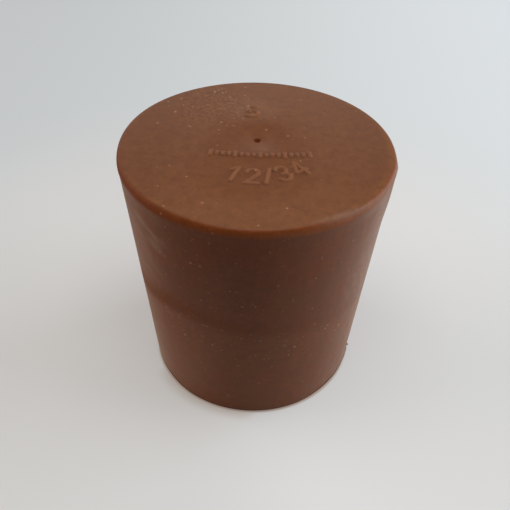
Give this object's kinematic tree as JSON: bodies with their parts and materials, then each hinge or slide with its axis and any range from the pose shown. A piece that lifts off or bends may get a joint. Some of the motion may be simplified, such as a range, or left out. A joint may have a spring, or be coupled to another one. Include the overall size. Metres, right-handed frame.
{
  "type": "rubber stopper",
  "caption": "Solid tapered rubber stopper, a plain plug with a rounded wide rim, a shallow gate dish and small raised marks on its wide end.",
  "frame": {"origin": "centre of the narrow end face, which the stopper stands on", "axes": "+Z along the stopper's axis, from the narrow end to the wide end; -Y towards the front, from which the figures on the wide end read upright"},
  "size_m": [0.044, 0.044, 0.0453],
  "materials": {
    "rubber": "satin brown moulded rubber with a faint belt of handling marks and fine pale dust"
  },
  "bodies": {
    "root": {"stopper": "rubber"}
  },
  "joints": []
}
